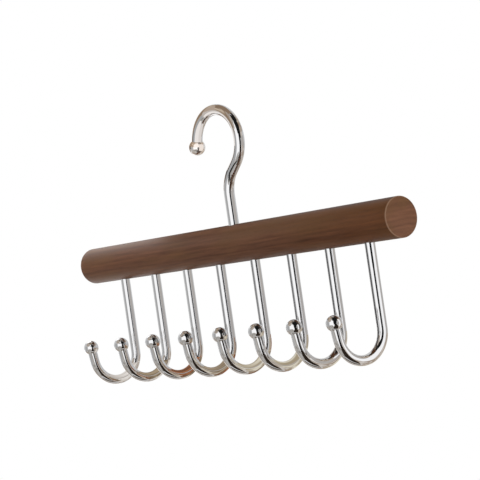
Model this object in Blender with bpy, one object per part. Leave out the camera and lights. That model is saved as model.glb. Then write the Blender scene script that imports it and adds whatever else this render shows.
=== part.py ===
"""A belt hanger: a wooden bar that carries a row of wire belt hooks and hangs on one swivel hook.

Metres, +Z up. +X runs along the bar, and the belt hooks open towards -Y. The origin is where the
closet rod bears, at the inner top of the hanging hook's crown.
"""
import math

import bmesh
import bpy
from mathutils import Vector

# Gap that pieces keep where they touch or fit into each other
FIT_GAP = 0.0003

# Wooden bar, a round rod with flat ends and rounded rims
BAR_LENGTH = 0.3366
BAR_DIAMETER = 0.0250
BAR_END_ROUND = 0.0010
BAR_SIDES = 48
BAR_END_STEPS = 3

# Wire of the belt hooks and of the hanging hook
BELT_WIRE_DIAMETER = 0.0064
HANGING_WIRE_DIAMETER = 0.0070
WIRE_END_CHAMFER = 0.0005
WIRE_SIDES = 16
BEND_STEP = math.radians(11.0)

# Ball on the tip of each hook
BELT_BALL_DIAMETER = 0.0100
HANGING_BALL_DIAMETER = 0.0108
BALL_SIDES = 24
BALL_STEPS = 12

# Row of belt hooks: how far its ends stay from the bar's ends
BELT_HOOK_COUNT = 8
BAR_LEFT_MARGIN = 0.03655
BAR_RIGHT_MARGIN = 0.03195

# Belt hook, from the bar's axis down
BELT_HOOK_SOCKET_DEPTH = 0.0160
BELT_HOOK_DROP = 0.0636
BELT_HOOK_BEND_RADIUS = 0.0175
BELT_HOOK_BEND_ANGLE = math.radians(172.0)
BELT_HOOK_TIP_LENGTH = 0.0097

# Hanging hook: crown, neck and shank with its thinner foot, and the turn that it stands at
SHANK_SHIFT = 0.0044
SHANK_FOOT_DIAMETER = 0.0060
CROWN_HEIGHT = 0.0671
CROWN_RADIUS = 0.0215
CROWN_TIP_ANGLE = math.radians(166.0)
CROWN_TIP_LENGTH = 0.0056
NECK_ANGLE = math.radians(46.0)
NECK_STRAIGHT = 0.0065
NECK_RADIUS = 0.0213
HANGING_HOOK_TURN = math.radians(3.0)

# Washer, nut and wooden plug in the counterbore under the bar
WASHER_DIAMETER = 0.0120
WASHER_THICKNESS = 0.0016
NUT_FLATS = 6
NUT_ACROSS_FLATS = 0.0100
NUT_HEIGHT = 0.0032
SHANK_END_LENGTH = 0.0005
PLUG_THICKNESS = 0.0040
COUNTERBORE_CLEARANCE = 0.0005
BORE_SIDES = 24

# Overrun of a cutter past the face that it opens, and the least angle that shows as an edge
CUT_OVERRUN = 0.0020
SHARP_ANGLE = math.radians(35.0)

# Finishes: colour, roughness and metallic value
WALNUT_STAIN = ((0.105, 0.050, 0.031, 1.0), 0.42, 0.0)
CHROME_PLATE = ((0.80, 0.80, 0.81, 1.0), 0.06, 1.0)
ZINC_PLATE = ((0.55, 0.56, 0.58, 1.0), 0.32, 1.0)

BAR_RADIUS = BAR_DIAMETER / 2
BELT_WIRE_RADIUS = BELT_WIRE_DIAMETER / 2
HANGING_WIRE_RADIUS = HANGING_WIRE_DIAMETER / 2
SHANK_FOOT_RADIUS = SHANK_FOOT_DIAMETER / 2
BELT_SOCKET_RADIUS = BELT_WIRE_RADIUS + FIT_GAP
HANGING_SOCKET_RADIUS = HANGING_WIRE_RADIUS + FIT_GAP
FOOT_BORE_RADIUS = SHANK_FOOT_RADIUS + FIT_GAP

# Heights along the shank, from the bar's axis
BAR_UNDERSIDE = -BAR_RADIUS
PLUG_TOP = BAR_UNDERSIDE + PLUG_THICKNESS
SHANK_END = PLUG_TOP + FIT_GAP
NUT_BOTTOM = SHANK_END + SHANK_END_LENGTH
NUT_TOP = NUT_BOTTOM + NUT_HEIGHT
WASHER_BOTTOM = NUT_TOP + FIT_GAP
WASHER_TOP = WASHER_BOTTOM + WASHER_THICKNESS
COUNTERBORE_TOP = WASHER_TOP + FIT_GAP
HALF_FLAT_ANGLE = math.pi / NUT_FLATS
NUT_ACROSS_CORNERS = NUT_ACROSS_FLATS / math.cos(HALF_FLAT_ANGLE)
COUNTERBORE_RADIUS = max(WASHER_DIAMETER, NUT_ACROSS_CORNERS) / 2 + COUNTERBORE_CLEARANCE

# Reach of the neck's bends and straight, and the crown centre's distance from the shank
BENDS_REACH = (CROWN_RADIUS + NECK_RADIUS) * (1 - math.cos(NECK_ANGLE))
STRAIGHT_REACH = NECK_STRAIGHT * math.sin(NECK_ANGLE)
CROWN_OFFSET = BENDS_REACH + STRAIGHT_REACH - CROWN_RADIUS

# Places of the swivel axis, the bar and the row of belt hooks
SWIVEL_X = -CROWN_OFFSET * math.cos(HANGING_HOOK_TURN)
SWIVEL_Y = -CROWN_OFFSET * math.sin(HANGING_HOOK_TURN)
BAR_AXIS_Z = -(CROWN_HEIGHT + CROWN_RADIUS - HANGING_WIRE_RADIUS)
BAR_MIDDLE_FROM_SHANK = -SHANK_SHIFT
ROW_START_FROM_SHANK = BAR_MIDDLE_FROM_SHANK - BAR_LENGTH / 2 + BAR_LEFT_MARGIN
BELT_HOOK_PITCH = (BAR_LENGTH - BAR_LEFT_MARGIN - BAR_RIGHT_MARGIN) / (BELT_HOOK_COUNT - 1)


def clear_scene():
    """Remove every object that the scene starts with."""
    for scene_object in list(bpy.data.objects):
        bpy.data.objects.remove(scene_object, do_unlink=True)


def make_material(name, finish):
    """Return a Principled material with a colour, a roughness and a metallic value."""
    colour, roughness, metallic = finish
    material = bpy.data.materials.new(name)
    material.use_nodes = True
    shader = material.node_tree.nodes["Principled BSDF"]
    shader.inputs["Base Color"].default_value = colour
    shader.inputs["Roughness"].default_value = roughness
    shader.inputs["Metallic"].default_value = metallic
    return material


def finish_mesh(name, shape, material):
    """Turn a bmesh into a mesh with outward faces, smooth round sides and one material."""
    bmesh.ops.recalc_face_normals(shape, faces=shape.faces)
    mesh = bpy.data.meshes.new(name)
    shape.to_mesh(mesh)
    shape.free()
    mesh.shade_smooth()
    mesh.set_sharp_from_angle(angle=SHARP_ANGLE)
    mesh.materials.append(material)
    return mesh


def add_object(name, mesh, parent, location=(0.0, 0.0, 0.0)):
    """Put a mesh into the scene as a named object under its parent."""
    new_object = bpy.data.objects.new(name, mesh)
    bpy.context.scene.collection.objects.link(new_object)
    new_object.parent = parent
    new_object.location = location
    return new_object


def add_empty(name, location, turn=0.0):
    """Add an empty that carries the pieces of one body."""
    empty = bpy.data.objects.new(name, None)
    bpy.context.scene.collection.objects.link(empty)
    empty.location = location
    empty.rotation_euler = (0.0, 0.0, turn)
    return empty


def mark_as_cutter(cutter):
    """Keep a cutting shape out of the model."""
    cutter.hide_render = True
    cutter.display_type = "WIRE"


def cut_with(target, cutter, operation="DIFFERENCE"):
    """Cut a piece with a cutter by an exact boolean."""
    cut = target.modifiers.new("cut_" + cutter.name, "BOOLEAN")
    cut.operation = operation
    cut.solver = "EXACT"
    cut.object = cutter


def bridge_rings(shape, rings):
    """Join neighbouring rings of equal count with four-sided faces."""
    for ring, next_ring in zip(rings, rings[1:]):
        for index in range(len(ring)):
            after = (index + 1) % len(ring)
            shape.faces.new((ring[index], ring[after], next_ring[after], next_ring[index]))


def add_ring(shape, outline, height, sides, axis_x=0.0):
    """Add a level ring of points round an upright axis; outline gives the radius at an angle."""
    ring = []
    for index in range(sides):
        angle = 2 * math.pi * index / sides
        across = outline(angle) * math.cos(angle)
        deep = outline(angle) * math.sin(angle)
        ring.append(shape.verts.new((axis_x + across, deep, height)))
    return ring


def circle(radius):
    """Return the outline of a circle: the same radius at every angle."""
    return lambda angle: radius


def add_turned(shape, profile, sides, axis_x=0.0):
    """Add a solid of revolution about Z from (radius, height) points, with a flat disc at each end."""
    rings = [add_ring(shape, circle(radius), height, sides, axis_x) for radius, height in profile]
    bridge_rings(shape, rings)
    shape.faces.new(reversed(rings[0]))
    shape.faces.new(rings[-1])


def lay_along_x(shape):
    """Turn a shape that stands on Z so that it lies along X."""
    for vertex in shape.verts:
        vertex.co = Vector((vertex.co.z, vertex.co.y, -vertex.co.x))


def arc(centre, radius, start_angle, end_angle):
    """Return points along an arc in a plane, both ends included."""
    steps = math.ceil(abs(end_angle - start_angle) / BEND_STEP)
    points = []
    for step in range(steps + 1):
        angle = start_angle + (end_angle - start_angle) * step / steps
        points.append(Vector((centre.x + radius * math.cos(angle), centre.y + radius * math.sin(angle))))
    return points


def chamfered_ends(stations):
    """Add a small chamfer at both ends of a wire that is given as points with their radii."""
    first, first_radius = stations[0]
    last, last_radius = stations[-1]
    inwards = (stations[1][0] - first).normalized() * WIRE_END_CHAMFER
    start = [(first, first_radius - WIRE_END_CHAMFER), (first + inwards, first_radius)]
    inwards = (stations[-2][0] - last).normalized() * WIRE_END_CHAMFER
    end = [(last + inwards, last_radius), (last, last_radius - WIRE_END_CHAMFER)]
    return start + stations[1:-1] + end


def wire_mesh(name, stations, along, across, material):
    """Sweep a circle through points with radii in a plane with this first axis and this normal."""
    stations = chamfered_ends(stations)
    up = Vector((0.0, 0.0, 1.0))
    shape = bmesh.new()
    rings = []
    for index, (point, radius) in enumerate(stations):
        before = stations[max(index - 1, 0)][0]
        after = stations[min(index + 1, len(stations) - 1)][0]
        way = (after - before).normalized()
        side = along * -way.y + up * way.x
        centre = along * point.x + up * point.y
        ring = []
        for spoke in range(WIRE_SIDES):
            angle = 2 * math.pi * spoke / WIRE_SIDES
            outwards = side * math.cos(angle) + across * math.sin(angle)
            ring.append(shape.verts.new(centre + outwards * radius))
        rings.append(ring)
    bridge_rings(shape, rings)
    shape.faces.new(reversed(rings[0]))
    shape.faces.new(rings[-1])
    return finish_mesh(name, shape, material)


def ball_mesh(name, ball_radius, socket_radius, material):
    """Turn a ball at the origin, with a blind bore for the wire open towards +Z."""
    mouth_angle = math.asin(socket_radius / ball_radius)
    shape = bmesh.new()
    profile = [(socket_radius, 0.0)]
    for step in range(BALL_STEPS):
        angle = mouth_angle + (math.pi - mouth_angle) * step / BALL_STEPS
        profile.append((ball_radius * math.sin(angle), ball_radius * math.cos(angle)))
    rings = [add_ring(shape, circle(radius), height, BALL_SIDES) for radius, height in profile]
    bridge_rings(shape, rings)
    shape.faces.new(reversed(rings[0]))
    pole = shape.verts.new((0.0, 0.0, -ball_radius))
    for index in range(BALL_SIDES):
        shape.faces.new((rings[-1][index], rings[-1][(index + 1) % BALL_SIDES], pole))
    return finish_mesh(name, shape, material)


def ring_mesh(name, outline, bottom, top, material):
    """Make a flat ring round the shank's foot; outline gives its outer radius at each angle."""
    shape = bmesh.new()
    bore = circle(FOOT_BORE_RADIUS)
    corners = ((bore, bottom), (outline, bottom), (outline, top), (bore, top))
    rings = [add_ring(shape, edge, height, BORE_SIDES) for edge, height in corners]
    bridge_rings(shape, rings + rings[:1])
    return finish_mesh(name, shape, material)


def add_wooden_bar(swivel, material):
    """The round bar, with a blind hole for each belt hook and a bore and counterbore for the shank."""
    shape = bmesh.new()
    profile = []
    for step in range(BAR_END_STEPS + 1):
        angle = math.pi / 2 * step / BAR_END_STEPS
        radius = BAR_RADIUS - BAR_END_ROUND * (1 - math.sin(angle))
        profile.append((radius, -BAR_LENGTH / 2 + BAR_END_ROUND * (1 - math.cos(angle))))
    profile += [(radius, -height) for radius, height in reversed(profile)]
    add_turned(shape, profile, BAR_SIDES)
    lay_along_x(shape)
    bar_mesh = finish_mesh("wooden_bar", shape, material)
    bar = add_object("wooden_bar", bar_mesh, swivel, (BAR_MIDDLE_FROM_SHANK, 0.0, 0.0))

    below = BAR_UNDERSIDE - CUT_OVERRUN
    above = BAR_RADIUS + CUT_OVERRUN
    holes = bmesh.new()
    for index in range(BELT_HOOK_COUNT):
        hole = [(BELT_SOCKET_RADIUS, below), (BELT_SOCKET_RADIUS, BAR_UNDERSIDE + BELT_HOOK_SOCKET_DEPTH)]
        add_turned(holes, hole, BORE_SIDES, belt_hook_x(index))
    swivel_bore = [(COUNTERBORE_RADIUS, below), (COUNTERBORE_RADIUS, COUNTERBORE_TOP),
                   (HANGING_SOCKET_RADIUS, COUNTERBORE_TOP), (HANGING_SOCKET_RADIUS, above)]
    add_turned(holes, swivel_bore, BORE_SIDES)
    cutter = add_object("bar_holes_cutter", finish_mesh("bar_holes_cutter", holes, material), swivel)
    mark_as_cutter(cutter)
    cut_with(bar, cutter)


def add_swivel_plug(swivel, material):
    """The wooden plug in the counterbore, trimmed to the round of the bar's underside."""
    plug_radius = COUNTERBORE_RADIUS - FIT_GAP
    shape = bmesh.new()
    add_turned(shape, [(plug_radius, BAR_UNDERSIDE - CUT_OVERRUN), (plug_radius, PLUG_TOP)], BORE_SIDES)
    plug = add_object("swivel_plug", finish_mesh("swivel_plug", shape, material), swivel)

    trim = bmesh.new()
    reach = COUNTERBORE_RADIUS + CUT_OVERRUN
    add_turned(trim, [(BAR_RADIUS, -reach), (BAR_RADIUS, reach)], BAR_SIDES)
    lay_along_x(trim)
    cutter = add_object("plug_round_cutter", finish_mesh("plug_round_cutter", trim, material), swivel)
    mark_as_cutter(cutter)
    cut_with(plug, cutter, "INTERSECT")


def belt_hook_x(index):
    """Distance of a belt hook from the shank, along the bar."""
    return ROW_START_FROM_SHANK + BELT_HOOK_PITCH * index


def belt_hook_path():
    """Centreline of a belt hook in the plane across the bar: (distance to the front, height)."""
    bend_centre = Vector((BELT_HOOK_BEND_RADIUS, -BELT_HOOK_DROP))
    top = Vector((0.0, BAR_UNDERSIDE + BELT_HOOK_SOCKET_DEPTH - FIT_GAP))
    bend = arc(bend_centre, BELT_HOOK_BEND_RADIUS, math.pi, math.pi + BELT_HOOK_BEND_ANGLE)
    tip_way = Vector((math.sin(BELT_HOOK_BEND_ANGLE), -math.cos(BELT_HOOK_BEND_ANGLE)))
    ball_centre = bend[-1] + tip_way * BELT_HOOK_TIP_LENGTH
    return [top] + bend + [ball_centre + tip_way * -FIT_GAP], ball_centre, tip_way


def add_belt_hooks(swivel, wire_material, ball_material):
    """The row of belt hooks, each with a ball on its tip, pressed into the bar from below."""
    path, ball_centre, tip_way = belt_hook_path()
    stations = [(point, BELT_WIRE_RADIUS) for point in path]
    to_front = Vector((0.0, -1.0, 0.0))
    hook_mesh = wire_mesh("belt_hook", stations, to_front, Vector((1.0, 0.0, 0.0)), wire_material)
    ball_radius = BELT_BALL_DIAMETER / 2
    tip_ball_mesh = ball_mesh("belt_hook_ball", ball_radius, BELT_SOCKET_RADIUS, ball_material)
    wire_side = Vector((0.0, tip_way.x, -tip_way.y))
    for index in range(BELT_HOOK_COUNT):
        place = belt_hook_x(index)
        add_object(f"belt_hook_{index + 1}", hook_mesh, swivel, (place, 0.0, 0.0))
        ball_place = (place, -ball_centre.x, ball_centre.y)
        ball = add_object(f"belt_hook_ball_{index + 1}", tip_ball_mesh, swivel, ball_place)
        ball.rotation_euler = wire_side.to_track_quat("Z", "Y").to_euler()


def hanging_hook_path():
    """Centreline of the hanging hook in its own plane, from the ball to the shank's shoulder."""
    crown_centre = Vector((CROWN_OFFSET, CROWN_HEIGHT))
    crown = arc(crown_centre, CROWN_RADIUS, CROWN_TIP_ANGLE, -NECK_ANGLE)
    tip_way = Vector((-math.sin(CROWN_TIP_ANGLE), math.cos(CROWN_TIP_ANGLE)))
    ball_centre = crown[0] + tip_way * CROWN_TIP_LENGTH
    neck_way = Vector((-math.sin(NECK_ANGLE), -math.cos(NECK_ANGLE)))
    neck_start = crown[-1] + neck_way * NECK_STRAIGHT
    neck_centre = Vector((NECK_RADIUS, neck_start.y - NECK_RADIUS * math.sin(NECK_ANGLE)))
    neck = arc(neck_centre, NECK_RADIUS, math.pi - NECK_ANGLE, math.pi)
    shoulder = Vector((0.0, COUNTERBORE_TOP))
    path = [ball_centre + tip_way * -FIT_GAP] + crown + neck + [shoulder]
    return path, ball_centre, tip_way


def add_hanging_hook(root, wire_material, ball_material):
    """The hook that hangs on the closet rod, with its ball, and a shank that turns in the bar."""
    path, ball_centre, tip_way = hanging_hook_path()
    stations = [(point, HANGING_WIRE_RADIUS) for point in path]
    foot_end = Vector((0.0, SHANK_END))
    stations += [(path[-1], SHANK_FOOT_RADIUS), (foot_end, SHANK_FOOT_RADIUS)]
    along = Vector((1.0, 0.0, 0.0))
    mesh = wire_mesh("hanging_hook", stations, along, Vector((0.0, 1.0, 0.0)), wire_material)
    add_object("hanging_hook", mesh, root)
    ball_radius = HANGING_BALL_DIAMETER / 2
    tip_ball_mesh = ball_mesh("hanging_hook_ball", ball_radius, HANGING_SOCKET_RADIUS, ball_material)
    ball_place = (ball_centre.x, 0.0, ball_centre.y)
    ball = add_object("hanging_hook_ball", tip_ball_mesh, root, ball_place)
    wire_side = Vector((-tip_way.x, 0.0, -tip_way.y))
    ball.rotation_euler = wire_side.to_track_quat("Z", "Y").to_euler()


def nut_outline(angle):
    """Outer radius of the six-sided nut at an angle, from its distance across the flats."""
    from_flat_middle = (angle % (2 * HALF_FLAT_ANGLE)) - HALF_FLAT_ANGLE
    return NUT_ACROSS_FLATS / 2 / math.cos(from_flat_middle)


def add_swivel_washer(root, material):
    """The washer that carries the bar on the nut."""
    mesh = ring_mesh("swivel_washer", circle(WASHER_DIAMETER / 2), WASHER_BOTTOM, WASHER_TOP, material)
    add_object("swivel_washer", mesh, root)


def add_swivel_nut(root, material):
    """The six-sided nut on the shank's foot."""
    mesh = ring_mesh("swivel_nut", nut_outline, NUT_BOTTOM, NUT_TOP, material)
    add_object("swivel_nut", mesh, root)


def build_belt_hanger():
    """Build both bodies: the hanging hook with its nut and washer, and the bar that turns on it."""
    clear_scene()
    swivel_place = (SWIVEL_X, SWIVEL_Y, BAR_AXIS_Z)
    hook_root = add_empty("hook_root", swivel_place, HANGING_HOOK_TURN)
    bar_swivel = add_empty("bar_swivel", swivel_place)
    add_hanging_hook(hook_root, make_material("hanging_hook_chrome", CHROME_PLATE),
                     make_material("hanging_ball_chrome", CHROME_PLATE))
    add_swivel_washer(hook_root, make_material("washer_zinc", ZINC_PLATE))
    add_swivel_nut(hook_root, make_material("nut_zinc", ZINC_PLATE))
    add_wooden_bar(bar_swivel, make_material("bar_walnut_stain", WALNUT_STAIN))
    add_swivel_plug(bar_swivel, make_material("plug_walnut_stain", WALNUT_STAIN))
    add_belt_hooks(bar_swivel, make_material("belt_hook_chrome", CHROME_PLATE),
                   make_material("belt_ball_chrome", CHROME_PLATE))
    bpy.context.view_layer.update()


build_belt_hanger()
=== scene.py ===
import math

import bmesh
import bpy
from mathutils import Matrix, Vector


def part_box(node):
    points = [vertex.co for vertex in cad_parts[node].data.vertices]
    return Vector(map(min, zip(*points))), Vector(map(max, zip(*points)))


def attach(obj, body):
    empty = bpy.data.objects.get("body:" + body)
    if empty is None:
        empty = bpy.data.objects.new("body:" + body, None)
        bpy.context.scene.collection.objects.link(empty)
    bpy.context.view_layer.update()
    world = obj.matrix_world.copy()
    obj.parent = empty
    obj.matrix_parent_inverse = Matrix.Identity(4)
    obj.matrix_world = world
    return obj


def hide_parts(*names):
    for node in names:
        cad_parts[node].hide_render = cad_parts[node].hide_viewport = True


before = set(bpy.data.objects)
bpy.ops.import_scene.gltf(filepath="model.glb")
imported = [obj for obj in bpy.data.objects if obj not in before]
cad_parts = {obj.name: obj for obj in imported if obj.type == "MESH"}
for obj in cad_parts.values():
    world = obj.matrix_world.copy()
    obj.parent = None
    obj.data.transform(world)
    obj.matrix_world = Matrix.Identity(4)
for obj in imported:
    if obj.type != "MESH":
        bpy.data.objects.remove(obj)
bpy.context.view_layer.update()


# Wooden bar: a round walnut-stained rod that carries everything, sanded and lacquered to a satin.
# It is cut to length with lightly rounded rims, drilled blind from below for each belt hook, and
# bored through for the shank of the hanging hook, with a counterbore from below for its nut.

bar_low, bar_high = (Vector(corner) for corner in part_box("wooden_bar"))
bar_middle = (bar_low + bar_high) / 2
bar_length = bar_high.x - bar_low.x
bar_radius = (bar_high.z - bar_low.z) / 2
bar_rim_round = 0.0009
bar_rim_steps = 6
bar_rings = 44
bar_sides = 160
sharp_edge = math.radians(35.0)

first_hook_low, first_hook_high = (Vector(corner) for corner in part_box("belt_hook_1"))
last_hook_low = Vector(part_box("belt_hook_8")[0])
belt_hook_count = 8
belt_hook_pitch = (last_hook_low.x - first_hook_low.x) / (belt_hook_count - 1)
belt_wire_radius = (first_hook_high.x - first_hook_low.x) / 2
first_stem = Vector((first_hook_low.x + belt_wire_radius, first_hook_high.y - belt_wire_radius, bar_middle.z))
socket_clearance = 0.00006

washer_low, washer_high = (Vector(corner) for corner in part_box("swivel_washer"))
washer_side_clearance = 0.0005
washer_top_clearance = 0.0003
shank_place = (washer_low + washer_high) / 2
shank_radius = 0.0035
bore_clearance = 0.00025
counterbore_radius = (washer_high.x - washer_low.x) / 2 + washer_side_clearance
counterbore_top = washer_high.z + washer_top_clearance
hole_sides = 64
cut_overrun = 0.002

# The grain. A noise is given by its marks a metre along the bar and twice across it, its detail and
# its roughness.
pith_depth = 0.16
rings_a_metre = 420.0
ring_detail = 3.0
ring_wander = 0.0050
wander_noise = ((7.0, 45.0, 45.0), 2.0, 0.50)
streak_noise = ((38.0, 620.0, 620.0), 4.0, 0.62)
band_noise = ((9.0, 95.0, 95.0), 2.0, 0.50)
hue_noise = ((14.0, 70.0, 70.0), 2.0, 0.50)
end_line_noise = ((38.0, 80.0, 700.0), 3.0, 0.50)
pore_scale = (170.0, 2400.0, 2400.0)
pore_core = 0.12
pore_edge = 0.32
side_tone_base = 0.085
side_tone_shares = {"rings": 0.22, "streaks": 0.41, "bands": 0.21}
end_tone_base = 0.285
end_tone_shares = {"rings": 0.24, "bands": 0.10, "end_lines": 0.18}

# The stain. The tone runs from dark to light wood, then olive, a painted shade that darkens and warms the
# bar toward its +X end, pores and a painted highlight on the rounded rims go over it. The painted rim
# highlight comes up and fades again between shares of the rim's round, counted from the end face.
stain_stops = ((0.34, (0.055, 0.020, 0.009, 1.0)), (0.50, (0.104, 0.042, 0.020, 1.0)),
               (0.66, (0.152, 0.064, 0.031, 1.0)))
olive_wood = (0.105, 0.048, 0.017, 1.0)
olive_start = 0.45
olive_end = 0.68
olive_most = 0.75
# Painted shade: the side of the bar is multiplied darker and warmer from these shares of its half length
# toward the +X end.
end_shade_tint = (0.86, 0.73, 0.48, 1.0)
end_shade_start = 0.25
end_shade_end = 0.95
pore_brown = (0.030, 0.012, 0.007, 1.0)
pore_share = 0.30
# Painted highlight: a lighter tan laid on the rounded rims next to the end faces.
rim_highlight_wood = (0.33, 0.21, 0.14, 1.0)
rim_highlight_share = 0.40
rim_highlight_rise = (1.20, 0.70)
rim_highlight_fall = (0.25, 0.05)
satin_least = 0.38
satin_most = 0.52
satin_specular = 0.14
wood_bump = 0.12
wood_bump_depth = 0.0002


def turned_shape(profile, sides):
    """Turn a closed solid about Z from (radius, height) points, ending in discs or in poles."""
    shape = bmesh.new()
    rings = []
    for radius, height in profile:
        if radius == 0:
            rings.append([shape.verts.new((0, 0, height))] * sides)
            continue
        turn = [2 * math.pi * side / sides for side in range(sides)]
        rings.append([shape.verts.new((radius * math.cos(a), radius * math.sin(a), height)) for a in turn])
    for ring, next_ring in zip(rings, rings[1:]):
        for side in range(sides):
            after = (side + 1) % sides
            corners = [ring[side], ring[after], next_ring[after], next_ring[side]]
            shape.faces.new(list(dict.fromkeys(corners)))
    if profile[0][0] > 0:
        shape.faces.new(rings[0])
    if profile[-1][0] > 0:
        shape.faces.new(rings[-1])
    bmesh.ops.recalc_face_normals(shape, faces=shape.faces)
    return shape


def as_object(name, shape, place=Matrix.Identity(4)):
    """Make an object at the origin from a bmesh, with the place put into the mesh."""
    shape.transform(place)
    mesh = bpy.data.meshes.new(name)
    shape.to_mesh(mesh)
    shape.free()
    made = bpy.data.objects.new(name, mesh)
    bpy.context.scene.collection.objects.link(made)
    return made


def finished(name, made, material):
    """Turn what an object evaluates to into one plain smooth mesh with one material."""
    bpy.context.view_layer.update()
    seen = made.evaluated_get(bpy.context.evaluated_depsgraph_get())
    mesh = bpy.data.meshes.new_from_object(seen)
    mesh.name = name
    bpy.data.objects.remove(made, do_unlink=True)
    mesh.materials.clear()
    mesh.materials.append(material)
    mesh.shade_smooth()
    mesh.set_sharp_from_angle(angle=sharp_edge)
    piece = bpy.data.objects.new(name, mesh)
    bpy.context.scene.collection.objects.link(piece)
    return piece


def node_group(name, sizes):
    """Start a geometry tree with its geometry sockets and named float or integer inputs."""
    tree = bpy.data.node_groups.new(name, "GeometryNodeTree")
    tree.interface.new_socket("Geometry", in_out="INPUT", socket_type="NodeSocketGeometry")
    for label, value in sizes.items():
        kind = "NodeSocketInt" if isinstance(value, int) else "NodeSocketFloat"
        tree.interface.new_socket(label, in_out="INPUT", socket_type=kind)
    tree.interface.new_socket("Material", in_out="INPUT", socket_type="NodeSocketMaterial")
    tree.interface.new_socket("Geometry", in_out="OUTPUT", socket_type="NodeSocketGeometry")
    return tree


def wired(tree, kind, inputs=None, **settings):
    """Add a node, set its properties, and link or set its inputs by name or by number."""
    node = tree.nodes.new(kind)
    for name, value in settings.items():
        setattr(node, name, value)
    for socket, value in (inputs or {}).items():
        if isinstance(value, bpy.types.NodeSocket):
            tree.links.new(value, node.inputs[socket])
        else:
            node.inputs[socket].default_value = value
    return node


def with_tree(made, tree, sizes, material):
    """Put a geometry tree on an object and set its named inputs by their identifiers."""
    modifier = made.modifiers.new(tree.name, "NODES")
    modifier.node_group = tree
    values = dict(sizes, Material=material)
    for item in tree.interface.items_tree:
        if item.in_out == "INPUT" and item.name in values:
            modifier[item.identifier] = values[item.name]
    return made


def drilled_bar_tree(sizes):
    """A tree that drills a row of equal blind holes up into the bar."""
    tree = node_group("drilled_bar", sizes)
    given = wired(tree, "NodeGroupInput").outputs
    place = wired(tree, "ShaderNodeCombineXYZ", {0: given["Row Start"], 1: given["Stem Y"],
                                                 2: given["Hole Middle"]})
    step = wired(tree, "ShaderNodeCombineXYZ", {0: given["Pitch"]})
    row = wired(tree, "GeometryNodeMeshLine", {"Count": given["Hole Count"], "Offset": step.outputs[0],
                                               "Start Location": place.outputs[0]})
    drill = wired(tree, "GeometryNodeMeshCylinder", {"Vertices": hole_sides, "Depth": given["Hole Depth"],
                                                     "Radius": given["Hole Radius"]})
    drills = wired(tree, "GeometryNodeInstanceOnPoints", {"Points": row.outputs[0],
                                                          "Instance": drill.outputs[0]})
    solid = wired(tree, "GeometryNodeRealizeInstances", {0: drills.outputs[0]})
    cut = wired(tree, "GeometryNodeMeshBoolean", {0: given["Geometry"], 1: solid.outputs[0]},
                operation="DIFFERENCE", solver="EXACT")
    whole = wired(tree, "GeometryNodeRealizeInstances", {0: cut.outputs[0]})
    coated = wired(tree, "GeometryNodeSetMaterial", {0: whole.outputs[0], "Material": given["Material"]})
    wired(tree, "NodeGroupOutput", {0: coated.outputs[0]})
    return tree


def new_finish(name):
    """Start a surface: its material, its node tree, its shader and the object's own coordinates."""
    material = bpy.data.materials.new(name)
    material.use_nodes = True
    tree = material.node_tree
    return material, tree, tree.nodes["Principled BSDF"], wired(tree, "ShaderNodeTexCoord").outputs["Object"]


def worked_out(tree, operation, *values):
    """What a maths node makes of sockets and numbers."""
    return wired(tree, "ShaderNodeMath", dict(enumerate(values)), operation=operation).outputs[0]


def stretched(tree, value, start, end, low=0.0, high=1.0):
    """A value mapped from one range onto another, and held inside it."""
    return wired(tree, "ShaderNodeMapRange", {"Value": value, "From Min": start, "From Max": end,
                                              "To Min": low, "To Max": high}).outputs[0]


def mixed(tree, share, first, second, blend="MIX"):
    """A colour that goes from the first to the second by a share."""
    return wired(tree, "ShaderNodeMix", {"Factor": share, 6: first, 7: second},
                 data_type="RGBA", blend_type=blend).outputs[2]


def add_bump(tree, shader, height, strength, depth):
    """Let a height stand out of a surface."""
    bump = wired(tree, "ShaderNodeBump", {"Height": height, "Strength": strength, "Distance": depth})
    tree.links.new(bump.outputs[0], shader.inputs["Normal"])


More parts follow.
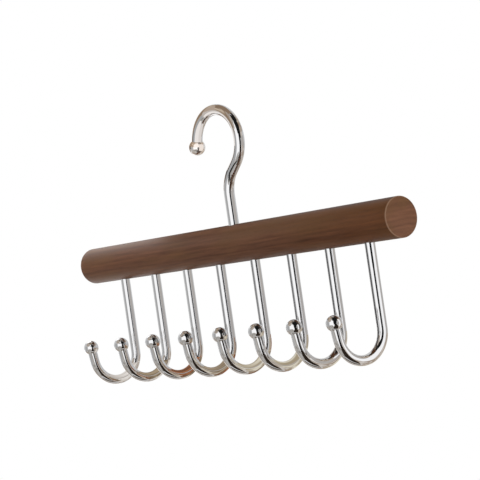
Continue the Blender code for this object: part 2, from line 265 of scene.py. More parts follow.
def walnut(name, middle, shift, turn=(0.0, 0.0, 0.0), end_reach=1.0):
    """Walnut-stained wood: growth lines that run along the bar, fine streaks, pores and a satin oil."""
    material, tree, shader, place = new_finish(name)
    centred = wired(tree, "ShaderNodeVectorMath", {0: place, 1: tuple(middle)}, operation="SUBTRACT")
    centred = centred.outputs[0]
    wood = wired(tree, "ShaderNodeMapping", {"Vector": centred, "Location": shift, "Rotation": turn})
    wood = wood.outputs[0]
    sideways = wired(tree, "ShaderNodeSeparateXYZ", {0: centred}).outputs["X"]
    along = worked_out(tree, "ABSOLUTE", sideways)
    end_grain = stretched(tree, along, end_reach - bar_rim_round, end_reach - bar_rim_round / 3)

    def noise(scale, detail, roughness):
        scaled = wired(tree, "ShaderNodeMapping", {"Vector": wood, "Scale": scale}).outputs[0]
        return wired(tree, "ShaderNodeTexNoise", {"Vector": scaled, "Scale": 1.0, "Detail": detail,
                                                  "Roughness": roughness}).outputs[0]

    wander = noise(*wander_noise)
    parts = wired(tree, "ShaderNodeSeparateXYZ", {0: wood}).outputs
    from_pith = worked_out(tree, "ADD", parts["Z"], pith_depth)
    across = wired(tree, "ShaderNodeCombineXYZ", {0: parts["Y"], 1: from_pith}).outputs[0]
    ring_place = wired(tree, "ShaderNodeVectorMath", {0: across}, operation="LENGTH").outputs["Value"]
    ring_place = worked_out(tree, "MULTIPLY_ADD", wander, ring_wander, ring_place)
    ring_count = worked_out(tree, "MULTIPLY", ring_place, rings_a_metre)
    rings = wired(tree, "ShaderNodeTexNoise", {"W": ring_count, "Scale": 1.0, "Detail": ring_detail},
                  noise_dimensions="1D").outputs[0]

    layers = {"rings": rings, "streaks": noise(*streak_noise), "bands": noise(*band_noise),
              "end_lines": noise(*end_line_noise)}
    hue = noise(*hue_noise)
    pore_place = wired(tree, "ShaderNodeMapping", {"Vector": wood, "Scale": pore_scale}).outputs[0]
    pores = wired(tree, "ShaderNodeTexVoronoi", {"Vector": pore_place, "Scale": 1.0}).outputs["Distance"]
    pore_mask = stretched(tree, pores, pore_core, pore_edge, 1.0, 0.0)

    def tone_of(base, shares):
        tone = base
        for layer, share in shares.items():
            tone = worked_out(tree, "MULTIPLY_ADD", layers[layer], share, tone)
        return tone

    tone = wired(tree, "ShaderNodeMix", {"Factor": end_grain, "A": tone_of(side_tone_base, side_tone_shares),
                                         "B": tone_of(end_tone_base, end_tone_shares)}).outputs[0]
    ramp = wired(tree, "ShaderNodeValToRGB", {0: tone})
    stops = ramp.color_ramp.elements
    stops[0].position, stops[0].color = stain_stops[0]
    stops[1].position, stops[1].color = stain_stops[2]
    middle_position, middle_colour = stain_stops[1]
    stops.new(middle_position).color = middle_colour
    olive = stretched(tree, hue, olive_start, olive_end, 0.0, olive_most)
    coloured = mixed(tree, olive, ramp.outputs[0], olive_wood)
    # Painted shade: the side grows darker and warmer toward the +X end; the end faces are left out.
    end_shade = stretched(tree, sideways, end_shade_start * end_reach, end_shade_end * end_reach)
    end_shade = worked_out(tree, "MULTIPLY", end_shade, worked_out(tree, "SUBTRACT", 1.0, end_grain))
    coloured = mixed(tree, end_shade, coloured, end_shade_tint, "MULTIPLY")
    coloured = mixed(tree, worked_out(tree, "MULTIPLY", pore_mask, pore_share), coloured, pore_brown)
    # Painted highlight on the rounded rims: a lighter tan that comes up and fades again across the round.
    up_from, up_to = (end_reach - share * bar_rim_round for share in rim_highlight_rise)
    fades_from, fades_to = (end_reach - share * bar_rim_round for share in rim_highlight_fall)
    rim_highlight = worked_out(tree, "MULTIPLY", stretched(tree, along, up_from, up_to),
                      stretched(tree, along, fades_from, fades_to, 1.0, 0.0))
    rim_highlight = worked_out(tree, "MULTIPLY", rim_highlight, rim_highlight_share)
    coloured = mixed(tree, rim_highlight, coloured, rim_highlight_wood)
    tree.links.new(coloured, shader.inputs["Base Color"])

    gloss = stretched(tree, layers["streaks"], 0.0, 1.0, satin_least, satin_most)
    tree.links.new(gloss, shader.inputs["Roughness"])
    shader.inputs["Specular IOR Level"].default_value = satin_specular
    height = worked_out(tree, "MULTIPLY_ADD", pore_mask, -1.0, layers["streaks"])
    add_bump(tree, shader, height, wood_bump, wood_bump_depth)
    return material


rod_profile = []
for rim_step in range(bar_rim_steps + 1):
    rim_angle = math.pi / 2 * rim_step / bar_rim_steps
    rim_radius = bar_radius - bar_rim_round * (1 - math.sin(rim_angle))
    rod_profile.append((rim_radius, -bar_length / 2 + bar_rim_round * (1 - math.cos(rim_angle))))
straight = bar_length - 2 * bar_rim_round
far_rim = [(radius, -height) for radius, height in reversed(rod_profile)]
rod_profile += [(bar_radius, -straight / 2 + straight * ring / bar_rings) for ring in range(1, bar_rings)]
rod_profile += far_rim

lie_along_x = Matrix.Translation(bar_middle) @ Matrix.Rotation(math.pi / 2, 4, "Y")
bar = as_object("bar", turned_shape(rod_profile, bar_sides), lie_along_x)
bore_radius = shank_radius + bore_clearance
bore_profile = [(counterbore_radius, bar_low.z - cut_overrun), (counterbore_radius, counterbore_top),
                (bore_radius, counterbore_top), (bore_radius, bar_high.z + cut_overrun)]
shank_line = Matrix.Translation((shank_place.x, shank_place.y, 0))
borer = as_object("borer", turned_shape(bore_profile, hole_sides), shank_line)
bore_cut = bar.modifiers.new("swivel_bore", "BOOLEAN")
bore_cut.object = borer
hole_top = first_hook_high.z + socket_clearance
hole_bottom = bar_low.z - cut_overrun
hole_sizes = {"Hole Radius": belt_wire_radius + socket_clearance, "Hole Depth": hole_top - hole_bottom,
              "Hole Middle": (hole_top + hole_bottom) / 2, "Hole Count": belt_hook_count,
              "Row Start": first_stem.x, "Pitch": belt_hook_pitch, "Stem Y": first_stem.y}
bar_wood = walnut("bar_walnut", bar_middle, (0.0, 0.0, 0.0), end_reach=bar_length / 2)
bar = with_tree(bar, drilled_bar_tree(hole_sizes), hole_sizes, bar_wood)
bar = finished("walnut_bar", bar, bar_wood)
bpy.data.objects.remove(borer, do_unlink=True)
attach(bar, "bar")
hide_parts("wooden_bar")


# Plug: a turned disc of the same wood, glued into the counterbore and sanded flush with the round
# of the underside, so that only a fine glue line shows round it.

plug_low, plug_high = (Vector(corner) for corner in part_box("swivel_plug"))
glue_line = 0.00008
plug_radius = counterbore_radius - glue_line
plug_sides = 96
plug_wood_shift = (0.031, 0.004, 0.007)
plug_wood_turn = (0.4, 0.0, 0.06)

plug_profile = [(plug_radius, plug_low.z - cut_overrun), (plug_radius, plug_high.z)]
plug = as_object("plug", turned_shape(plug_profile, plug_sides), shank_line)
round_profile = [(bar_radius, -2 * plug_radius), (bar_radius, 2 * plug_radius)]
shank_in_bar = Matrix.Translation((shank_place.x, bar_middle.y, bar_middle.z))
lie_at_shank = shank_in_bar @ Matrix.Rotation(math.pi / 2, 4, "Y")
underside = as_object("underside", turned_shape(round_profile, bar_sides), lie_at_shank)
flush_cut = plug.modifiers.new("flush_cut", "BOOLEAN")
flush_cut.operation = "INTERSECT"
flush_cut.object = underside
plug_wood = walnut("plug_walnut", shank_place, plug_wood_shift, plug_wood_turn)
plug = finished("walnut_plug", plug, plug_wood)
bpy.data.objects.remove(underside, do_unlink=True)
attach(plug, "bar")
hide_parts("swivel_plug")


# Belt hooks: polished chrome-plated steel wire, cold bent round a former into a J. The upper ends
# are pressed and glued into the bar, square to it, and the tips lean out a little to take a buckle.

bend_radius = 0.0175
bend_angle = math.radians(172.0)
tip_length = 0.0097
bend_step = math.radians(3.0)
wire_sides = 48
ball_gap = 0.0003

chrome_tint = (0.80, 0.80, 0.81)
chrome_dark_share = 0.93
chrome_haze = (0.02, 0.05)
haze_scale = 90.0
haze_detail = 4.0
haze_start = 0.30
haze_end = 0.75
scratch_scale = 1900.0
scratch_detail = 3.0
scratch_bump = 0.002
scratch_depth = 0.00005


def arc(centre, radius, start_angle, end_angle):
    """Points along an arc in a plane, both ends included."""
    steps = math.ceil(abs(end_angle - start_angle) / bend_step)
    turns = [start_angle + (end_angle - start_angle) * step / steps for step in range(steps + 1)]
    return [Vector((centre[0] + radius * math.cos(a), centre[1] + radius * math.sin(a))) for a in turns]


def path_object(name, points, foot_share=1.0, foot_points=0):
    """A curve object through the points, its last few points marked as a thinner foot."""
    curve = bpy.data.curves.new(name, "CURVE")
    curve.dimensions = "3D"
    spline = curve.splines.new("POLY")
    spline.points.add(len(points) - 1)
    for number, (point, place) in enumerate(zip(spline.points, points)):
        point.co = (*place, 1.0)
        point.radius = foot_share if number >= len(points) - foot_points else 1.0
    made = bpy.data.objects.new(name, curve)
    bpy.context.scene.collection.objects.link(made)
    return made


def repeated_along_bar(tree, given, piece):
    """End a tree with a row of equal pieces along the bar, made real and given their material."""
    step = wired(tree, "ShaderNodeCombineXYZ", {0: given["Pitch"]})
    row = wired(tree, "GeometryNodeMeshLine", {"Count": given["Count"], "Offset": step.outputs[0]})
    copies = wired(tree, "GeometryNodeInstanceOnPoints", {"Points": row.outputs[0], "Instance": piece})
    whole = wired(tree, "GeometryNodeRealizeInstances", {0: copies.outputs[0]})
    coated = wired(tree, "GeometryNodeSetMaterial", {0: whole.outputs[0], "Material": given["Material"]})
    wired(tree, "NodeGroupOutput", {0: coated.outputs[0]})
    return tree


def round_wire_tree(sizes):
    """A tree that sweeps round wire along a path and repeats it along the bar."""
    tree = node_group("round_wire", sizes)
    given = wired(tree, "NodeGroupInput").outputs
    section = wired(tree, "GeometryNodeCurvePrimitiveCircle", {"Resolution": given["Sides"],
                                                               "Radius": given["Wire Radius"]})
    share = wired(tree, "GeometryNodeInputRadius").outputs[0]
    swept = wired(tree, "GeometryNodeCurveToMesh", {"Curve": given["Geometry"], "Scale": share,
                                                    "Profile Curve": section.outputs[0], "Fill Caps": True})
    return repeated_along_bar(tree, given, swept.outputs[0])


def chrome(name, tint=chrome_tint, haze=chrome_haze):
    """Polished chrome plate: a mirror with faint haze, tiny scratches and a slightly uneven tone."""
    material, tree, shader, place = new_finish(name)
    shader.inputs["Metallic"].default_value = 1.0
    cloud = wired(tree, "ShaderNodeTexNoise", {"Vector": place, "Scale": haze_scale, "Detail": haze_detail})
    cloud = cloud.outputs[0]
    fine = wired(tree, "ShaderNodeTexNoise", {"Vector": place, "Scale": scratch_scale,
                                              "Detail": scratch_detail})
    dark = [chrome_dark_share * level for level in tint]
    tree.links.new(mixed(tree, cloud, (*dark, 1.0), (*tint, 1.0)), shader.inputs["Base Color"])
    tree.links.new(stretched(tree, cloud, haze_start, haze_end, *haze), shader.inputs["Roughness"])
    add_bump(tree, shader, fine.outputs[0], scratch_bump, scratch_depth)
    return material


bend_centre = Vector((bend_radius, first_hook_low.z + belt_wire_radius + bend_radius))
bend = arc(bend_centre, bend_radius, math.pi, math.pi + bend_angle)
tip_way = Vector((math.sin(bend_angle), -math.cos(bend_angle)))
ball_centre = bend[-1] + tip_way * tip_length
flat_path = [Vector((0, first_hook_high.z))] + bend + [ball_centre - tip_way * ball_gap]
hook_path = [(first_stem.x, first_stem.y - point.x, point.y) for point in flat_path]
wire_sizes = {"Wire Radius": belt_wire_radius, "Sides": wire_sides, "Count": belt_hook_count,
              "Pitch": belt_hook_pitch}
wire_tree = round_wire_tree(wire_sizes)
hook_chrome = chrome("belt_hook_chrome")
belt_hooks = with_tree(path_object("belt_hooks", hook_path), wire_tree, wire_sizes, hook_chrome)
belt_hooks = finished("belt_hooks", belt_hooks, hook_chrome)
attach(belt_hooks, "bar")
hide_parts(*[f"belt_hook_{number + 1}" for number in range(belt_hook_count)])


# Balls on the belt hooks: turned and polished steel balls, drilled blind with a small chamfer round
# the hole, fixed on the tips of the wires and plated with them.

first_ball_low, first_ball_high = (Vector(corner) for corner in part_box("belt_hook_ball_1"))
belt_ball_radius = (first_ball_high.x - first_ball_low.x) / 2
ball_hole_clearance = 0.00003
ball_mouth_chamfer = 0.00035
ball_steps = 40
ball_sides = 72


def ball_shape(ball_radius, wire_radius):
    """A ball at the origin, drilled to its middle from +Z, with a small chamfer round the hole."""
    hole_radius = wire_radius + ball_hole_clearance
    mouth_radius = hole_radius + ball_mouth_chamfer
    mouth_angle = math.asin(mouth_radius / ball_radius)
    mouth_height = ball_radius * math.cos(mouth_angle)
    profile = [(0, 0), (hole_radius, 0), (hole_radius, mouth_height - ball_mouth_chamfer)]
    for step in range(ball_steps):
        angle = mouth_angle + (math.pi - mouth_angle) * step / ball_steps
        profile.append((ball_radius * math.sin(angle), ball_radius * math.cos(angle)))
    return turned_shape(profile + [(0, -ball_radius)], ball_sides)


def repeat_tree(sizes):
    """A tree that repeats a piece along the bar."""
    tree = node_group("repeat_along_bar", sizes)
    given = wired(tree, "NodeGroupInput").outputs
    return repeated_along_bar(tree, given, given["Geometry"])


row_sizes = {"Count": belt_hook_count, "Pitch": belt_hook_pitch}
to_wire = Vector((0.0, tip_way.x, -tip_way.y)).to_track_quat("Z", "Y").to_matrix().to_4x4()
first_ball_place = Matrix.Translation((first_stem.x, first_stem.y - ball_centre.x, ball_centre.y)) @ to_wire
belt_ball_chrome = chrome("belt_ball_chrome")
belt_balls = as_object("belt_balls", ball_shape(belt_ball_radius, belt_wire_radius), first_ball_place)
belt_balls = with_tree(belt_balls, repeat_tree(row_sizes), row_sizes, belt_ball_chrome)
belt_balls = finished("belt_hook_balls", belt_balls, belt_ball_chrome)
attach(belt_balls, "bar")
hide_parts(*[f"belt_hook_ball_{number + 1}" for number in range(belt_hook_count)])


# Hanging hook: thicker plated wire, bent to a round crown and an S-shaped neck that brings the
# straight shank under the crown. The shank turns in the bar, and its turned-down foot takes the nut.

crown_radius = 0.0215
crown_tip_angle = math.radians(166.0)
crown_tip_length = 0.0056
neck_angle = math.radians(46.0)
neck_straight = 0.0065
neck_radius = 0.0213
hook_turn = math.radians(3.0)
foot_radius = 0.0030
shoulder_step = 0.00005

hanging_low = Vector(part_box("hanging_hook")[0])
neck_reach = (crown_radius + neck_radius) * (1 - math.cos(neck_angle)) + neck_straight * math.sin(neck_angle)
crown_centre = Vector((neck_reach - crown_radius, shank_radius - crown_radius))
crown = arc(crown_centre, crown_radius, crown_tip_angle, -neck_angle)
crown_tip_way = Vector((-math.sin(crown_tip_angle), math.cos(crown_tip_angle)))
hanging_ball_centre = crown[0] + crown_tip_way * crown_tip_length
neck_top = crown[-1] - Vector((math.sin(neck_angle), math.cos(neck_angle))) * neck_straight
neck_centre = Vector((neck_radius, neck_top.y - neck_radius * math.sin(neck_angle)))
neck = arc(neck_centre, neck_radius, math.pi - neck_angle, math.pi)
flat_path = [hanging_ball_centre - crown_tip_way * ball_gap] + crown + neck
flat_path += [Vector((0, counterbore_top + shoulder_step)), Vector((0, counterbore_top))]
flat_path += [Vector((0, hanging_low.z))]
hook_along = Vector((math.cos(hook_turn), math.sin(hook_turn), 0))
shank_foot = Vector((shank_place.x, shank_place.y, 0))
hook_path = [shank_foot + hook_along * point.x + Vector((0, 0, point.y)) for point in flat_path]
hanging_sizes = {"Wire Radius": shank_radius, "Sides": wire_sides, "Count": 1, "Pitch": 0.0}
hanging_chrome = chrome("hanging_hook_chrome")
hanging_hook = path_object("hanging", hook_path, foot_radius / shank_radius, 2)
hanging_hook = with_tree(hanging_hook, wire_tree, hanging_sizes, hanging_chrome)
hanging_hook = finished("swivel_hook", hanging_hook, hanging_chrome)
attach(hanging_hook, "hook")
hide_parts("hanging_hook")


# Ball on the hanging hook: a slightly larger turned ball, fixed on the tip of the crown. Its plate
# is paler and softer than that of the wires.

hanging_ball_radius = 0.0054
hanging_ball_tint = (0.97, 0.93, 0.90)
hanging_ball_haze = (0.16, 0.22)

ball_foot = shank_foot + hook_along * hanging_ball_centre.x + Vector((0, 0, hanging_ball_centre.y))
wire_side = hook_along * -crown_tip_way.x + Vector((0, 0, -crown_tip_way.y))
ball_place = Matrix.Translation(ball_foot) @ wire_side.to_track_quat("Z", "Y").to_matrix().to_4x4()
hanging_ball_chrome = chrome("hanging_ball_chrome", hanging_ball_tint, hanging_ball_haze)
hanging_ball = as_object("hanging_ball", ball_shape(hanging_ball_radius, shank_radius), ball_place)
hanging_ball = finished("swivel_hook_ball", hanging_ball, hanging_ball_chrome)
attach(hanging_ball, "hook")
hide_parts("hanging_hook_ball")


# Washer and nut: bright zinc-plated steel. The washer sits on the foot of the shank and the nut is
# screwed on under it, in the counterbore. They carry the bar on the hook, and the plug hides them.

zinc_dark = (0.44, 0.45, 0.47, 1.0)
zinc_light = (0.60, 0.61, 0.63, 1.0)
zinc_least = 0.28
zinc_most = 0.42
spangle_scale = 700.0
tool_mark_scale = 3000.0
tool_mark_detail = 2.0
tool_mark_bump = 0.1
tool_mark_depth = 0.00005


def zinc(name):
    """Zinc plate: a dull metal with a faint spangle and fine tool marks."""
    material, tree, shader, place = new_finish(name)
    shader.inputs["Metallic"].default_value = 1.0
    spangle = wired(tree, "ShaderNodeTexVoronoi", {"Vector": place, "Scale": spangle_scale}).outputs["Color"]
    spangle = wired(tree, "ShaderNodeSeparateXYZ", {0: spangle}).outputs[0]
    tree.links.new(mixed(tree, spangle, zinc_dark, zinc_light), shader.inputs["Base Color"])
    tree.links.new(stretched(tree, spangle, 0.0, 1.0, zinc_least, zinc_most), shader.inputs["Roughness"])
    marks = wired(tree, "ShaderNodeTexNoise", {"Vector": place, "Scale": tool_mark_scale,
                                               "Detail": tool_mark_detail})
    add_bump(tree, shader, marks.outputs[0], tool_mark_bump, tool_mark_depth)
    return material


for steel_node, steel_slot in (("swivel_washer", "washer_zinc"), ("swivel_nut", "nut_zinc")):
    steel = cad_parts[steel_node]
    steel.data.materials.clear()
    steel.data.materials.append(zinc(steel_slot))


# Camera: a long lens 1.3 m away, a little below the bar and to the right of its front. It is rolled
# to the photograph's tilt, and half a pixel of shift lines up the two frames.

camera_azimuth = math.radians(53.134)
camera_elevation = math.radians(-0.737)
camera_roll = math.radians(-8.315)
camera_distance = 1.2994
aim_offset = Vector((0.00903, 0.0, 0.00143))
image_width = 480.0
focal_pixels = 1998.7
sensor_width = 36.0
half_pixel = 0.5 * camera_distance / focal_pixels

back = Vector((math.sin(camera_azimuth) * math.cos(camera_elevation),
               -math.cos(camera_azimuth) * math.cos(camera_elevation), math.sin(camera_elevation)))
level_right = Vector((math.cos(camera_azimuth), math.sin(camera_azimuth), 0.0))
level_up = back.cross(level_right)
right = level_right * math.cos(camera_roll) + level_up * math.sin(camera_roll)
up = level_up * math.cos(camera_roll) - level_right * math.sin(camera_roll)
lens = bpy.data.cameras.new("camera")
lens.sensor_width = sensor_width
lens.lens = focal_pixels / image_width * sensor_width
camera = bpy.data.objects.new("camera", lens)
bpy.context.scene.collection.objects.link(camera)
facing = Matrix((right, up, back)).transposed().to_4x4()
aim = bar_middle + aim_offset + (up - right) * half_pixel
camera.matrix_world = Matrix.Translation(aim + back * camera_distance) @ facing
bpy.context.scene.camera = camera


# Studio: a pale floor under a white sky, with a tall soft box on each side of the camera, a lamp
# overhead and small lamps by the bar's left end. Cards, which only the polished metal sees, stand
# where its white, grey, brown and black lines come from.

hooks_middle = bar_middle - Vector((0, 0, 0.03))
crown_middle = Vector((0, 0, shank_radius - crown_radius))
card_bands = 6
patch_start = 0.42
patch_end = 0.58


def toward(turn, rise):
    """The direction from the object, turned to the camera's right and raised, in degrees."""
    level_back = Vector((back.x, back.y, 0)).normalized()
    level = level_back * math.cos(math.radians(turn)) + level_right * math.sin(math.radians(turn))
    return level * math.cos(math.radians(rise)) + Vector((0, 0, math.sin(math.radians(rise))))


def soft_box(name, turn, rise, distance, width, height, radiance, in_metal=True):
    """A soft box that faces the object, as bright on its face as the radiance says."""
    lamp = bpy.data.lights.new(name, "AREA")
    lamp.shape = "RECTANGLE"
    lamp.size = width
    lamp.size_y = height
    lamp.energy = radiance * math.pi * width * height
    box = bpy.data.objects.new(name, lamp)
    bpy.context.scene.collection.objects.link(box)
    away = toward(turn, rise)
    facing_in = away.to_track_quat("Z", "Y").to_matrix().to_4x4()
    box.matrix_world = Matrix.Translation(hooks_middle + away * distance) @ facing_in
    box.visible_camera = False
    box.visible_glossy = in_metal


def card_object(name, shape, colour, patches):
    """A card that only polished metal sees, of one colour or with soft patches of a second one."""
    paint = bpy.data.materials.new(name)
    paint.use_nodes = True
    tree = paint.node_tree
    tree.nodes.clear()
    glow = wired(tree, "ShaderNodeEmission", {"Color": (*colour, 1.0), "Strength": 1.0})
    if patches:
        second, size = patches
        place = wired(tree, "ShaderNodeTexCoord").outputs["Object"]
        cloud = wired(tree, "ShaderNodeTexNoise", {"Vector": place, "Scale": 1.0 / size, "Detail": 1.0})
        share = stretched(tree, cloud.outputs[0], patch_start, patch_end)
        tree.links.new(mixed(tree, share, (*colour, 1.0), (*second, 1.0)), glow.inputs["Color"])
    wired(tree, "ShaderNodeOutputMaterial", {"Surface": glow.outputs[0]})
    made = as_object(name, shape)
    made.data.materials.append(paint)
    made.visible_camera = False
    made.visible_diffuse = False
    made.visible_transmission = False
    made.visible_shadow = False


def ribbon(name, stations, distance, colour, patches=None, centre=hooks_middle):
    """A card bent round a centre along stations of (turn, rise, half its width), in degrees."""
    shape = bmesh.new()
    lines = []
    for station, following in zip(stations, stations[1:]):
        for band in range(card_bands + 1):
            share = band / card_bands
            turn, rise, half = (a + (b - a) * share for a, b in zip(station, following))
            way = toward(following[0], following[1]) - toward(station[0], station[1])
            middle = toward(turn, rise)
            side = middle.cross(way).normalized() * math.tan(math.radians(half))
            ends = [(middle + side).normalized(), middle, (middle - side).normalized()]
            lines.append([shape.verts.new(centre + end * distance) for end in ends])
    for line, next_line in zip(lines, lines[1:]):
        shape.faces.new((line[0], line[1], next_line[1], next_line[0]))
        shape.faces.new((line[1], line[2], next_line[2], next_line[1]))
    card_object(name, shape, colour, patches)


def panel(name, start, end, bottom, top, colour, patches=None):
    """A flat upright card between two places on the floor plan, given from the middle of the bar."""
    shape = bmesh.new()
    places = ((*start, bottom), (*end, bottom), (*end, top), (*start, top))
    shape.faces.new([shape.verts.new(bar_middle + Vector(place)) for place in places])
    card_object(name, shape, colour, patches)


def shelf(name, near, far, height, colour, patches=None):
    """A flat level card between two corners on the floor plan, given from the middle of the bar."""
    shape = bmesh.new()
    places = (near, (far[0], near[1]), far, (near[0], far[1]))
    shape.faces.new([shape.verts.new(bar_middle + Vector((*place, height))) for place in places])
    card_object(name, shape, colour, patches)


def stem_x(number):
    """How far the stem of a belt hook stands from the middle of the bar, counted from 0 at the left."""
    return first_stem.x - bar_middle.x + belt_hook_pitch * number


# The lamps that light the wood.
soft_box("left_soft_box", -28.0, 0.0, 0.9, 0.92, 3.0, 0.9, in_metal=False)
soft_box("right_soft_box", 64.0, 0.0, 0.9, 0.70, 3.0, 1.5, in_metal=False)
soft_box("top_lamp", 0.0, 80.0, 1.2, 1.2, 1.2, 0.5, in_metal=False)
soft_box("end_lamp", 40.0, 8.0, 0.6, 0.4, 0.4, 1.3, in_metal=False)
soft_box("near_left_lamp", -126.0, 32.0, 0.35, 0.15, 0.15, 6.8, in_metal=False)
soft_box("low_near_left_lamp", -116.0, -48.0, 0.36, 0.15, 0.15, 3.2, in_metal=False)
soft_box("high_left_lamp", -150.0, 30.0, 0.40, 0.18, 0.18, 1.4)
soft_box("low_left_lamp", -155.0, -19.0, 0.527, 0.25, 0.25, 0.9)

# Cards all round, at arm's length, which give every wire and ball its bands.
ribbon("middle_white", [(-28, -62, 32), (-28, 62, 32)], 0.92, (1.2, 1.2, 1.2))
ribbon("right_soft", [(64, -62, 21), (64, 62, 21)], 0.92, (0.66, 0.60, 0.53))
ribbon("upper_slit", [(17, 0, 10), (17, 14, 14), (22, 30, 17), (26, 52, 19)], 0.78, (0.012, 0.011, 0.011))
ribbon("stem_slit", [(13, -11, 11), (13, 6, 11)], 0.36, (0.02, 0.02, 0.02))
ribbon("lower_slit", [(16, -8, 13), (20, -26, 18)], 0.78, (0.012, 0.010, 0.009))
ribbon("low_dark", [(20, -22, 18), (25, -45, 24), (28, -66, 22)], 0.60, (0.030, 0.021, 0.015))
ribbon("stem_grey", [(23, -2.7, 5.2), (56, -2.7, 5.2)], 0.77, (0.36, 0.35, 0.34))
ribbon("right_grey", [(56, -2.7, 5.2), (120, -2.7, 5.2)], 0.77, (0.50, 0.475, 0.455))
ribbon("brown_high_left", [(-118, 43, 21), (-30, 43, 21)], 0.70, (0.36, 0.30, 0.25),
       ((0.60, 0.54, 0.47), 0.10))
ribbon("left_flag", [(-112, -3, 22), (-66, -3, 22)], 0.77, (0.46, 0.46, 0.455))
ribbon("warm_low_right", [(50, -36, 28), (110, -36, 28), (178, -36, 28)], 0.62, (0.38, 0.29, 0.22),
       ((0.74, 0.69, 0.63), 0.09))
ribbon("olive_low_left", [(-95, -40, 25), (0, -40, 25)], 0.63, (0.32, 0.30, 0.27),
       ((0.58, 0.56, 0.53), 0.10))
ribbon("cream_low_back", [(-180, -40, 22), (-92, -40, 22)], 0.64, (0.43, 0.38, 0.33))
ribbon("brown_high_right", [(50, 37, 15), (135, 37, 15)], 0.79, (0.25, 0.17, 0.12),
       ((0.66, 0.58, 0.48), 0.12))
ribbon("dark_high_right", [(38, 64, 14), (110, 64, 14)], 0.78, (0.03, 0.024, 0.02))
ribbon("grey_top", [(-180, 74, 14), (0, 74, 14), (180, 74, 14)], 0.80, (0.17, 0.135, 0.105))
ribbon("grey_bottom", [(-180, -77, 12), (0, -77, 12), (180, -77, 12)], 0.64, (0.17, 0.14, 0.11))

# Cards near the hanging hook, which only its crown, its neck and its ball see large.
ribbon("dark_by_crown", [(15, -16, 13), (15, 6, 16), (17, 12, 26), (20, 40, 32), (28, 66, 26)], 0.35,
       (0.012, 0.012, 0.012), None, crown_middle)
ribbon("grey_by_crown", [(36, -5, 12), (100, -5, 12)], 0.36, (0.52, 0.49, 0.46), None, crown_middle)
panel("dark_before_neck", (-0.050, -0.133), (0.040, -0.046), -0.010, 0.008, (0.012, 0.012, 0.012))
panel("dark_behind_bar", (0.0, 0.020), (0.070, 0.020), -0.010, 0.012, (0.012, 0.011, 0.010))
panel("brown_by_crown", (-0.125, 0.060), (-0.020, -0.165), 0.085, 0.400, (0.32, 0.23, 0.16),
      ((0.68, 0.56, 0.43), 0.07))
panel("brown_over_left", (-0.122, -0.030), (-0.122, 0.100), 0.044, 0.125, (0.27, 0.19, 0.13))
panel("dark_left_of_crown", (-0.108, -0.072), (-0.122, -0.031), 0.056, 0.096, (0.06, 0.05, 0.04))
panel("white_by_ball", (-0.019, -0.028), (-0.008, -0.005), 0.066, 0.082, (1.05, 0.99, 0.94))
panel("grey_by_ball", (-0.019, -0.028), (-0.008, -0.005), 0.082, 0.089, (0.66, 0.60, 0.55))
panel("light_right_of_ball", (-0.008, -0.005), (-0.010, 0.014), 0.052, 0.074, (0.90, 0.84, 0.79))
panel("dark_under_ball", (-0.0165, -0.0100), (-0.0142, 0.0030), 0.0490, 0.0575, (0.02, 0.014, 0.01))
panel("tan_by_ball", (-0.019, -0.028), (-0.008, -0.005), 0.089, 0.112, (0.54, 0.43, 0.34))
shelf("tan_over_crown", (-0.012, -0.020), (0.025, 0.014), 0.112, (0.29, 0.205, 0.14))

# A small dark card to the left of each of the five right stems, for the dark line along its left.
stem_card_near = (-0.0137, -0.0221)
stem_card_far = (-0.0222, -0.0134)
stem_card_bottom = -0.066
stem_card_top = -0.010
for stem, level in ((3, 0.20), (4, 0.17), (5, 0.12), (6, 0.05), (7, 0.05)):
    near = (stem_x(stem) + stem_card_near[0], stem_card_near[1])
    far = (stem_x(stem) + stem_card_far[0], stem_card_far[1])
    panel(f"dark_left_of_stem_{stem + 1}", near, far, stem_card_bottom, stem_card_top, (level, level, level))

# A white card past the right end, then cards behind, under and over the bends, for the cream, olive,
# brown and tan that the bends show.
panel("right_card", (0.186, -0.012), (0.186, 0.036), -0.10, 0.0, (1.15, 1.15, 1.15))
panel("cream_behind", (-0.066, 0.046), (-0.040, 0.046), -0.110, -0.066, (0.85, 0.80, 0.74))
panel("olive_behind", (-0.027, 0.045), (-0.002, 0.045), -0.110, -0.066, (0.36, 0.28, 0.19),
      ((0.20, 0.16, 0.12), 0.02))
panel("brown_behind", (0.011, 0.045), (0.037, 0.045), -0.110, -0.063, (0.42, 0.19, 0.09),
      ((0.24, 0.12, 0.07), 0.02))
panel("tan_behind", (0.049, 0.046), (0.120, 0.046), -0.110, -0.066, (0.76, 0.71, 0.60),
      ((0.46, 0.38, 0.28), 0.03))
bend_patch_size = 0.012
bend_colours = (
    ((0.95, 0.90, 0.84), (0.62, 0.56, 0.50)),
    ((0.22, 0.155, 0.09), (0.46, 0.36, 0.24)),
    ((0.42, 0.17, 0.075), (0.20, 0.09, 0.05)),
    ((0.50, 0.40, 0.28), (0.28, 0.21, 0.14)),
    ((0.90, 0.84, 0.68), (0.48, 0.40, 0.28)),
    ((0.46, 0.38, 0.26), (0.84, 0.78, 0.64)),
)
back_card_start = (0.013, 0.008)
back_card_end = (0.047, 0.008)
back_card_bottom = -0.100
back_card_top = -0.074
roof_card_near = (-0.010, -0.016)
roof_card_far = (0.020, 0.002)
roof_card_height = -0.0715
for number, (colour, second) in enumerate(bend_colours):
    hook_x = stem_x(number)
    patches = (second, bend_patch_size)
    start = (hook_x + back_card_start[0], back_card_start[1])
    end = (hook_x + back_card_end[0], back_card_end[1])
    panel(f"behind_bend_{number + 1}", start, end, back_card_bottom, back_card_top, colour, patches)
    near = (hook_x + roof_card_near[0], roof_card_near[1])
    far = (hook_x + roof_card_far[0], roof_card_far[1])
    shelf(f"over_bend_{number + 1}", near, far, roof_card_height, colour, patches)
panel("cream_below", (-0.110, 0.046), (-0.051, 0.046), -0.190, -0.111, (0.80, 0.74, 0.67))
panel("olive_below", (-0.050, 0.045), (-0.013, 0.045), -0.190, -0.111, (0.32, 0.24, 0.16),
      ((0.16, 0.12, 0.08), 0.02))
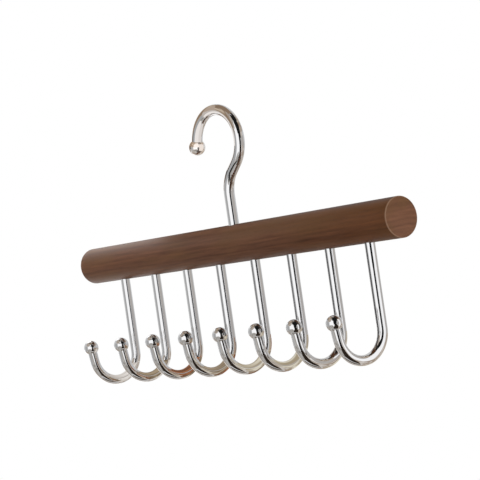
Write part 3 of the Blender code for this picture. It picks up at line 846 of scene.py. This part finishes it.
panel("brown_below", (-0.012, 0.045), (0.028, 0.045), -0.190, -0.111, (0.30, 0.13, 0.065),
      ((0.16, 0.08, 0.05), 0.02))
panel("tan_below", (0.029, 0.046), (0.120, 0.046), -0.190, -0.111, (0.72, 0.65, 0.54),
      ((0.42, 0.34, 0.25), 0.03))

# The floor and the sky: white where they are seen, a little darker in metal, plain for the light.
white = (1.0, 1.0, 1.0, 1.0)
floor_grey = (0.9, 0.9, 0.9, 1.0)
floor_drop = 0.62
floor_size = 12.0
floor_clear_radius = 0.9
floor_own_share = 0.35
room_in_metal = 0.68
sky_light = 0.50


def seen_background(tree):
    """Whether a ray sees the background, and how bright it then is, which is less in metal."""
    kind = wired(tree, "ShaderNodeLightPath").outputs
    seen = worked_out(tree, "MAXIMUM", kind["Is Camera Ray"], kind["Is Glossy Ray"])
    seen = worked_out(tree, "MAXIMUM", seen, kind["Is Transmission Ray"])
    shown = wired(tree, "ShaderNodeMix", {"Factor": kind["Is Glossy Ray"], "A": 1.0, "B": room_in_metal})
    return seen, shown.outputs[0]


floor_shape = bmesh.new()
floor_height = first_hook_low.z - floor_drop
corners = ((-1, -1), (1, -1), (1, 1), (-1, 1))
floor_reach = floor_size / 2
floor_corners = [floor_shape.verts.new((floor_reach * x, floor_reach * y, floor_height)) for x, y in corners]
floor_shape.faces.new(floor_corners)
floor = as_object("floor", floor_shape)
floor_paint = bpy.data.materials.new("floor_paint")
floor_paint.use_nodes = True
tree = floor_paint.node_tree
tree.nodes.clear()
place = wired(tree, "ShaderNodeTexCoord").outputs["Object"]
parts = wired(tree, "ShaderNodeSeparateXYZ", {0: place}).outputs
flat_place = wired(tree, "ShaderNodeCombineXYZ", {0: parts["X"], 1: parts["Y"]}).outputs[0]
reach = wired(tree, "ShaderNodeVectorMath", {0: flat_place}, operation="LENGTH").outputs["Value"]
fade = stretched(tree, reach, 0.0, floor_clear_radius, floor_own_share, 0.0)
seen, shown = seen_background(tree)
own_share = wired(tree, "ShaderNodeMix", {"Factor": seen, "A": 1.0, "B": fade}).outputs[0]
paint = wired(tree, "ShaderNodeBsdfDiffuse", {"Color": floor_grey})
glow = wired(tree, "ShaderNodeEmission", {"Color": white, "Strength": shown})
surface = wired(tree, "ShaderNodeMixShader", {0: own_share, 1: glow.outputs[0], 2: paint.outputs[0]})
wired(tree, "ShaderNodeOutputMaterial", {"Surface": surface.outputs[0]})
floor.data.materials.append(floor_paint)

world = bpy.data.worlds.new("studio")
bpy.context.scene.world = world
world.use_nodes = True
tree = world.node_tree
sky = tree.nodes["Background"]
seen, shown = seen_background(tree)
strength = wired(tree, "ShaderNodeMix", {"Factor": seen, "A": sky_light, "B": shown}).outputs[0]
sky.inputs["Color"].default_value = white
tree.links.new(strength, sky.inputs["Strength"])

bpy.context.scene.view_settings.view_transform = "Standard"
